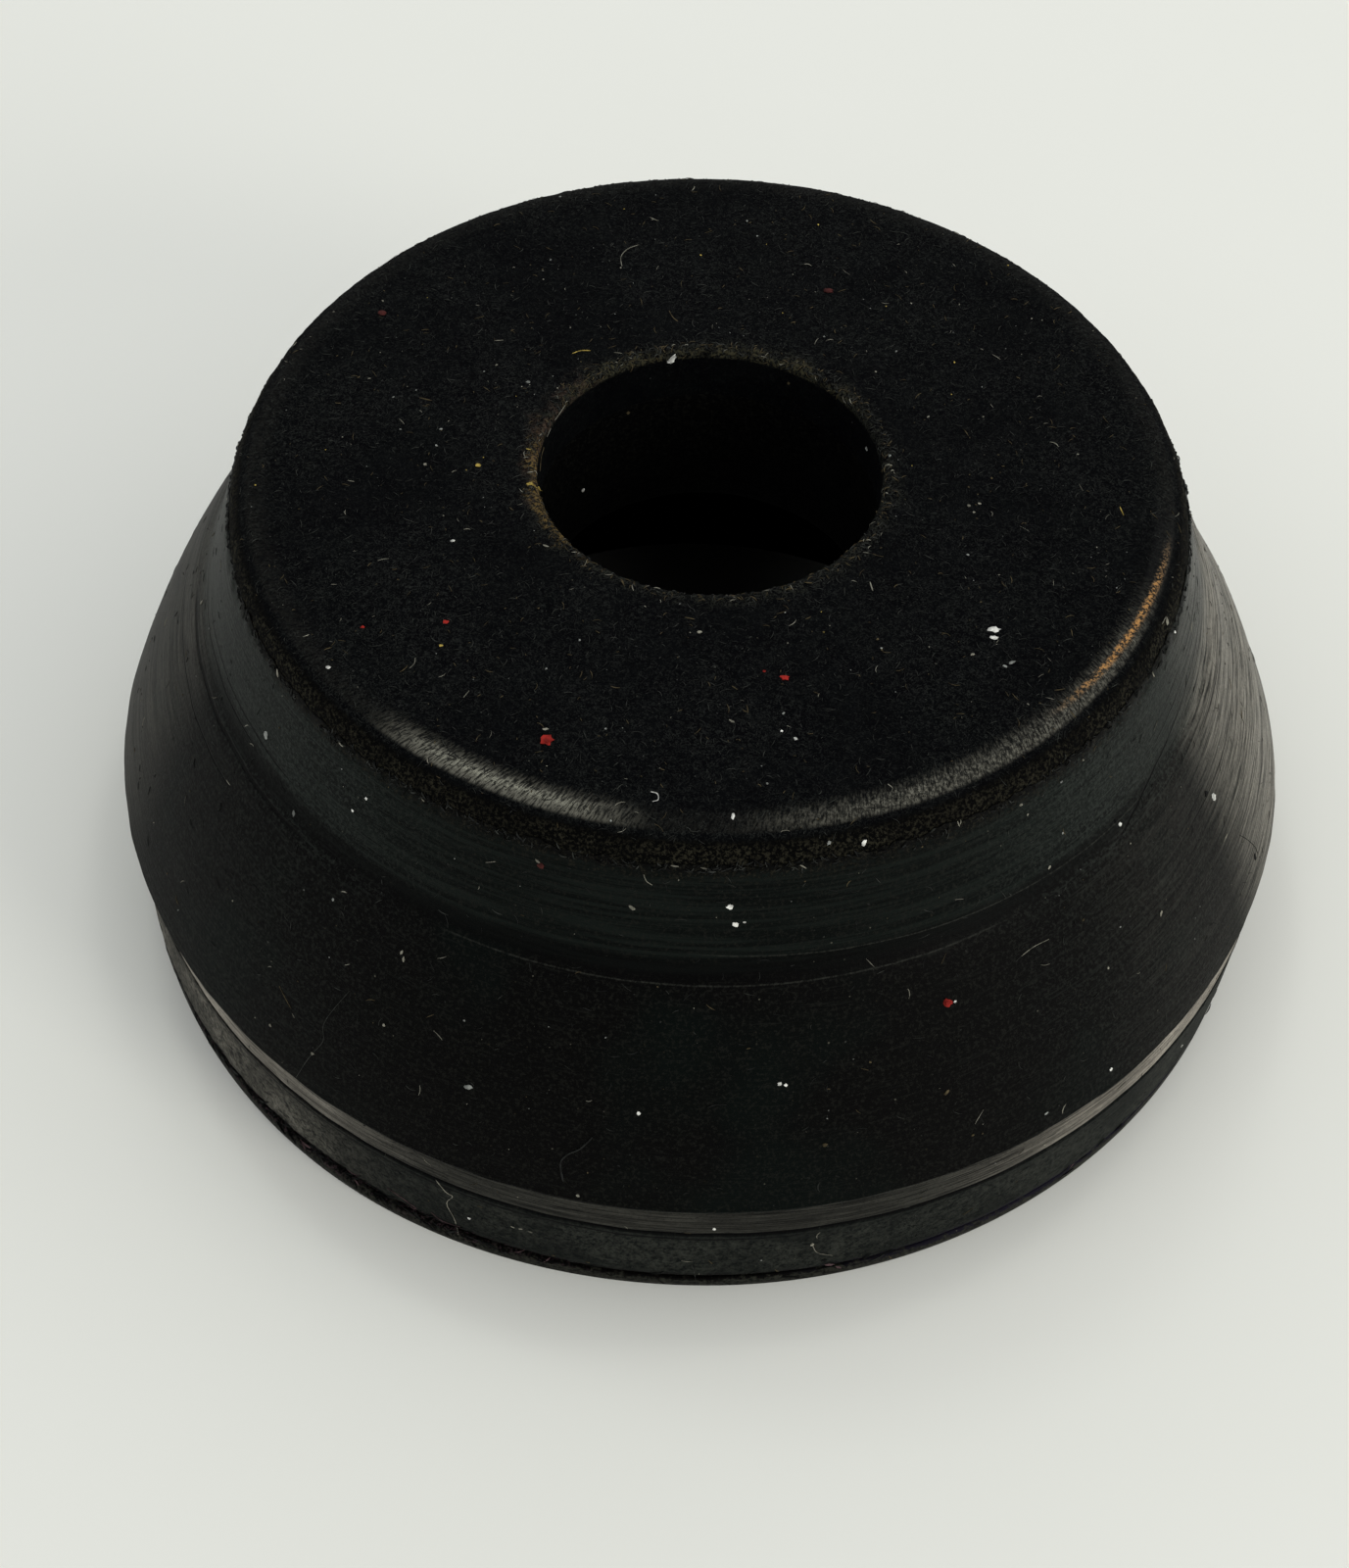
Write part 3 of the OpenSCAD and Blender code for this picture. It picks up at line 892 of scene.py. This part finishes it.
def add_hem_shreds(surface, materials):
    """Torn bits of rubber skin where it ends on the plate's edge, and along the seam."""
    bits = Bits(19)
    rng = bits.rng
    draw = rng.uniform
    for _ in range(HEM_SHREDS):
        turn = draw(0, TAU)
        start = ring_point(25.5, turn, 26.52 + rng.gauss(0, 0.13) + 0.12 * math.sin(9 * turn + 2))
        kinds = ["lint_dim"] * 6 + ["lint_grey"] * 4 + ["black"] * 4
        kind = rng.choice(kinds + ["lint_pale"] * (rng.random() < 0.3))
        heading = Vector((0, 0, 1)) * draw(-0.3, 1.0) + any_heading(rng) * 0.9
        bits.strand(
            surface, start, heading, draw(0.12, 0.45), draw(0.04, 0.1), draw(-1, 1), kind,
            draw(0.0, 0.05),
        )
    for _ in range(SEAM_SHREDS):
        turn = math.radians(rng.choice([rng.gauss(-128, 12), draw(-180, 180)]))
        kind = rng.choice(["black"] * 5 + ["lint_dim"] * 4 + ["mauve", "lint_grey"])
        heading = Vector((-math.sin(turn), math.cos(turn), draw(-0.5, 0.5)))
        bits.strand(
            surface, ring_point(33.1, turn, draw(0.55, 1.45)), heading, draw(0.3, 1.1),
            draw(0.05, 0.13), draw(-1, 1), kind, draw(0, 0.04),
        )
    bits.piece("hem_shreds", "rubber", materials)


def add_rubber_lint(surface, materials):
    """Sparse lint and grains of dust on the neck, the cone and the foot."""
    bits = Bits(23)
    rng = bits.rng
    draw = rng.uniform
    common = ["lint_dim"] * 9 + ["lint_grey"] * 6 + ["lint_warm"] + ["lint_pale"]
    for _ in range(LINT_STRANDS):
        z, turn = draw(0.6, 26.4), draw(0, TAU)
        bits.strand(
            surface, ring_point(34 - 0.3 * z, turn, z), any_heading(rng), draw(0.15, 0.7),
            draw(0.025, 0.05), draw(-1.5, 1.5), rng.choice(common),
        )
    grains = ["lint_grey"] * 6 + ["grey"] * 4 + ["lint_pale"] * 3 + ["lint_warm"] * 5
    for _ in range(RUBBER_GRAINS):
        z, turn = draw(1.4, 26.4), draw(0, TAU)
        spot, normal = surface.near(ring_point(34 - 0.3 * z, turn, z))
        size = 0.045 + 0.08 * rng.random() ** 3
        bits.lump(spot, normal, any_heading(rng), size * 1.3, size, size * 0.6, rng.choice(grains))
    for _ in range(PLATE_GRAINS):
        spot, normal = surface.near(ring_point(draw(9.8, 24.5), draw(0, TAU), TOP_Z))
        size = 0.045 + 0.08 * rng.random() ** 3
        kind = rng.choice(grains + ["yellow"])
        bits.lump(spot, normal, any_heading(rng), size * 1.3, size, size * 0.6, kind)
    bits.piece("lint_and_grains", "rubber", materials)


# Grains on the part by their pixels in the picture: across, down, length, width, lean, kind.
# Lengths are in pixels, and lean is in degrees above level.
GRAINS = [
    # plate
    (686, 366, 14, 8, 75, "white"), (1015, 643, 15, 8, 5, "white"), (1014, 651, 11, 6, 0, "white"),
    (1033, 676, 9, 4, 40, "grey"), (1026, 680, 7, 3, -30, "grey"),
    (993, 668, 5, 4, 30, "lint_pale"), (558, 756, 17, 15, 60, "red"),
    (557, 744, 8, 3, 10, "lint_pale"), (801, 692, 13, 7, -10, "red"), (780, 685, 4, 3, 0, "red"),
    (455, 635, 7, 6, 0, "red"), (370, 640, 5, 4, 0, "red"), (845, 297, 14, 7, 0, "dull_red"),
    (390, 320, 11, 8, 0, "dull_red"), (812, 754, 5, 4, -20, "white"), (798, 746, 3, 3, 0, "white"),
    (747, 736, 7, 3, -40, "lint_pale"), (748, 833, 9, 4, 85, "white"), (595, 500, 5, 5, 0, "white"),
    (885, 458, 5, 5, 0, "grey"), (908, 465, 4, 4, 0, "grey"), (641, 421, 5, 4, 0, "lint_warm"),
    (805, 391, 4, 4, 0, "lint_warm"), (462, 552, 5, 4, 0, "white"),
    (434, 474, 4, 4, 0, "lint_pale"), (539, 390, 5, 4, 0, "grey"), (450, 438, 4, 3, 0, "grey"),
    (557, 557, 7, 3, -30, "lint_pale"), (488, 475, 8, 5, 10, "yellow"),
    (541, 494, 8, 6, 0, "yellow"), (550, 499, 6, 5, -40, "yellow"), (335, 681, 5, 5, 0, "white"),
    (989, 516, 4, 4, 0, "lint_pale"), (1000, 514, 4, 3, 0, "lint_pale"),
    (450, 659, 5, 4, 0, "yellow"), (714, 645, 6, 4, 0, "lint_pale"),
    # neck
    (745, 925, 9, 7, 25, "white"), (751, 943, 8, 7, -30, "white"), (760, 941, 4, 3, 0, "white"),
    (645, 926, 8, 5, -45, "lint_pale"), (340, 918, 4, 4, 0, "grey"), (300, 830, 8, 4, 80, "grey"),
    (374, 815, 4, 4, 0, "white"), (360, 827, 4, 4, 0, "white"), (272, 750, 10, 8, 60, "grey"),
    (552, 883, 9, 7, -50, "dull_red"), (549, 879, 8, 3, -50, "lint_pale"),
    (882, 860, 9, 5, 70, "white"), (846, 860, 6, 4, 70, "grey"), (1042, 821, 5, 4, 0, "lint_pale"),
    (1191, 634, 9, 5, -70, "lint_pale"), (1199, 645, 4, 4, 0, "white"),
    (1071, 885, 6, 3, 30, "lint_pale"), (206, 615, 6, 4, 70, "lint_pale"),
    # cone
    # the flat black grains just left of the white ones at (1238, 813) and (1143, 841) are painted
    # shadows of them
    (1238, 813, 10, 9, 0, "white"), (1231, 810, 9, 7, 0, "black"), (1143, 841, 5, 5, 0, "white"),
    (1139, 838, 6, 5, 0, "black"), (1281, 874, 9, 6, -30, "black"),
    (1185, 932, 8, 4, 80, "lint_pale"), (967, 1023, 13, 12, 0, "red"),
    (975, 1022, 4, 3, 0, "white"), (796, 1106, 6, 5, 0, "white"), (802, 1107, 5, 4, 0, "white"),
    (478, 1109, 11, 6, 10, "grey"), (652, 1136, 5, 5, 0, "white"),
    (410, 972, 6, 3, 60, "lint_pale"), (412, 979, 7, 3, 75, "lint_pale"),
    (276, 1046, 4, 4, 0, "lint_pale"), (392, 1046, 4, 4, 0, "lint_pale"),
    (319, 1075, 5, 4, 0, "lint_pale"), (1134, 1091, 5, 4, 0, "white"),
    (1068, 1136, 6, 3, 20, "grey"), (1206, 1067, 4, 4, 0, "white"),
    (842, 1168, 6, 5, 0, "lint_warm"), (966, 1115, 8, 4, 50, "lint_warm"),
    (1066, 1168, 4, 4, 0, "lint_pale"),
    # foot
    (479, 1243, 5, 4, 0, "white"), (729, 1254, 4, 4, 0, "white"), (590, 1220, 4, 4, 0, "lint_pale"),
    (523, 1252, 6, 2, -20, "lint_pale"), (531, 1254, 6, 2, 30, "lint_pale"),
    (541, 1257, 6, 2, -35, "lint_pale"), (829, 1270, 6, 4, 80, "lint_pale"),
    (847, 1290, 13, 5, -25, "mauve"), (856, 1293, 9, 3, -15, "mauve"),
    (841, 1286, 8, 5, 0, "black"), (565, 1281, 5, 2, 0, "lint_warm"),
    (600, 1288, 6, 2, -10, "lint_warm"),
]

# Threads and scratches by their pixels: kind, width in pixels, and the points they pass.
THREADS = [
    ("lint_pale", 1.1, [(652, 250), (641, 254), (634, 262), (635, 272)]),
    ("lint_pale", 1.2, [(1042, 976), (1055, 966), (1071, 958)]),
    (
        "lint_grey", 1.1,
        [(302, 1100), (312, 1084), (319, 1075), (330, 1062), (330, 1047), (338, 1033), (357, 1011)]
    ),
    ("lint_warm", 1.2, [(285, 1006), (291, 1018), (297, 1029)]),
    ("lint_pale", 1.1, [(995, 1147), (999, 1140), (1004, 1132)]),
    ("lint_pale", 1.2, [(657, 892), (660, 899), (666, 903)]),
    (
        "lint_pale", 1.3,
        [(445, 1204), (455, 1216), (462, 1221), (456, 1228), (464, 1244), (468, 1260)]
    ),
    ("white", 1.4, [(664, 808), (671, 810), (672, 816), (666, 818)]),
    ("lint_pale", 1.0, [(424, 671), (423, 677), (418, 682)]),
    ("lint_pale", 1.3, [(479, 705), (473, 712)]),
    ("lint_warm", 1.4, [(699, 630), (709, 632)]),
    ("lint_pale", 1.2, [(496, 880), (506, 879)]),
    ("lint_pale", 1.1, [(906, 800), (911, 804), (910, 808)]),
    ("yellow", 1.3, [(1143, 517), (1147, 526)]),
    ("lint_pale", 1.8, [(888, 594), (891, 603)]),
    ("lint_warm", 1.2, [(683, 317), (687, 324), (692, 328)]),
    ("lint_warm", 1.5, [(428, 406), (441, 409)]),
    ("yellow", 1.3, [(584, 361), (593, 358), (603, 358)]),
    ("yellow", 1.6, [(538, 493), (545, 496), (553, 501)]),
    ("yellow", 1.1, [(537, 458), (542, 459)]),
    # the four strands along the left of the bore's rim stand in for glints of light on its edge:
    # painted highlights
    ("lint_warm", 1.0, [(603, 384), (590, 394), (583, 402)]),
    ("lint_pale", 1.0, [(577, 413), (571, 422), (566, 429)]),
    ("lint_pale", 0.9, [(562, 437), (558, 446)]),
    ("lint_warm", 1.1, [(555, 456), (552, 468), (551, 481)]),
    ("lint_pale", 1.6, [(1186, 637), (1190, 629)]),
    ("lint_dim", 3.0, [(575, 1205), (572, 1187), (579, 1178), (592, 1172), (605, 1160)]),
    ("lint_dim", 2.0, [(722, 1130), (731, 1127), (742, 1127)]),
    ("lint_pale", 1.2, [(829, 1268), (834, 1278), (850, 1281)]),
    ("lint_grey", 1.6, [(706, 1290), (709, 1299), (710, 1306)]),
    ("lint_warm", 1.3, [(747, 700), (753, 704)]),
    ("mauve", 1.6, [(440, 1237), (452, 1246), (470, 1252)]),
    ("mauve", 1.6, [(395, 1212), (410, 1222), (425, 1233)]),
    ("black", 0.9, [(1265, 852), (1272, 856), (1280, 863), (1284, 872)]),
]


def pixel_size(spot):
    """The width of one pixel at a point, in millimetres."""
    return (CAMERA_AT - spot).dot(CAMERA_BACK) / FOCAL_PX


def curve(pixels):
    """Points on a smooth curve through the pixels."""
    before = [pixels[0]] + pixels[:-1]
    after = pixels[1:] + [pixels[-1]]
    points = []
    for i in range(len(pixels) - 1):
        for n in range(CURVE_STEPS):
            t = n / CURVE_STEPS
            weights = (
                -0.5 * t + t**2 - 0.5 * t**3, 1 - 2.5 * t**2 + 1.5 * t**3,
                0.5 * t + 2 * t**2 - 1.5 * t**3, -0.5 * t**2 + 0.5 * t**3,
            )
            ends = (before[i], pixels[i], pixels[i + 1], after[i + 1])
            points.append(tuple(sum(w * end[k] for w, end in zip(weights, ends)) for k in (0, 1)))
    return points + [pixels[-1]]


def add_marks(surface, materials):
    """The grains, threads and scratches that lie in known places."""
    bits = Bits(31)
    for u, v, length, width, lean, kind in GRAINS:
        spot, normal = surface.seen(u, v)
        size = pixel_size(spot)
        a = math.radians(lean)
        heading = CAMERA_RIGHT * math.cos(a) + CAMERA_UP * math.sin(a)
        length, width = 0.9 * length * size, 0.9 * width * size
        bits.lump(
            spot, normal, heading, length, width, width * (0.2 if kind == "black" else 0.4), kind
        )
    for kind, width, pixels in THREADS:
        path = [surface.seen(u, v) for u, v in curve(pixels)]
        size = 0.75 * width * pixel_size(path[0][0])
        bits.tube([spot + normal * (0.25 * size) for spot, normal in path], path[0][1], size, kind)
    bits.piece("marks", "rubber", materials)


# ------------------------ stage
def add_floor():
    """A board that lies just under the part, so that the two don't share a plane."""
    half, z = 2.5, -0.00002
    co = np.array([(-half, -half, z), (half, -half, z), (half, half, z), (-half, half, z)])
    floor = make_mesh("floor", co, np.array([[0, 1, 2, 3]]))
    floor.data.materials.append(floor_material())


def add_light(name, azimuth, elevation, distance, size, power, colour):
    """A square soft light that faces the part. Azimuth 0 is the camera's side, 90 the right."""
    data = bpy.data.lights.new(name, "AREA")
    data.shape = "SQUARE"
    data.size = size
    data.energy = power
    data.color = colour
    light = add_object(name, data)
    a, e = math.radians(azimuth), math.radians(elevation)
    away = Vector((math.sin(a) * math.cos(e), -math.cos(a) * math.cos(e), math.sin(e)))
    light.location = away * distance + Vector((0, 0, 0.02))
    light.rotation_mode = "QUATERNION"
    light.rotation_quaternion = away.to_track_quat("Z", "Y")


# The dark card: how high it stands, the cosines off its middle where it starts and is full, and
# the light outside and on it
CARD_UP = math.radians(56)
CARD_FADE = (0.905, 0.965)
SKY, CARD = 0.87, 0.02


def add_world():
    """Even pale light from everywhere but the camera's side, which a dark card shuts off."""
    world = bpy.data.worlds.new("studio")
    world.use_nodes = True
    tree = world.node_tree
    back = tree.nodes["Background"]
    where = tree.nodes.new("ShaderNodeTexCoord")
    dot = tree.nodes.new("ShaderNodeVectorMath")
    dot.operation = "DOT_PRODUCT"
    dot.inputs[1].default_value = (0.0, -math.cos(CARD_UP), math.sin(CARD_UP))
    card = tree.nodes.new("ShaderNodeMapRange")
    card.interpolation_type = "SMOOTHSTEP"
    for socket, value in zip(card.inputs[1:5], (*CARD_FADE, SKY, CARD)):
        socket.default_value = value
    tree.links.new(where.outputs["Generated"], dot.inputs[0])
    tree.links.new(dot.outputs["Value"], card.inputs[0])
    tree.links.new(card.outputs[0], back.inputs["Strength"])
    back.inputs["Color"].default_value = (0.97, 0.985, 1.0, 1.0)
    bpy.context.scene.world = world


def add_lights():
    add_light("left_rear", -156, 61, 0.6, 0.08, 0.2, (0.94, 1.0, 0.965))
    add_light("right_rear", 142, 66, 0.6, 0.09, 0.17, (1.0, 0.98, 0.94))
    add_light("window", 96, 24, 0.7, 0.45, 0.42, (1.0, 0.955, 0.88))
    add_light("front", 52, 23, 0.8, 0.26, 1.9, (1.0, 0.975, 0.9))


bpy.context.scene.view_settings.view_transform = "Standard"
make_camera()
add_floor()
add_world()
add_lights()
surface = Surface([add_rubber(), add_plate()])
dust = {kind: dust_material(kind, colour) for kind, colour in DUST.items()}
add_plate_nap(surface, dust)
add_hem_shreds(surface, dust)
add_rubber_lint(surface, dust)
add_marks(surface, dust)
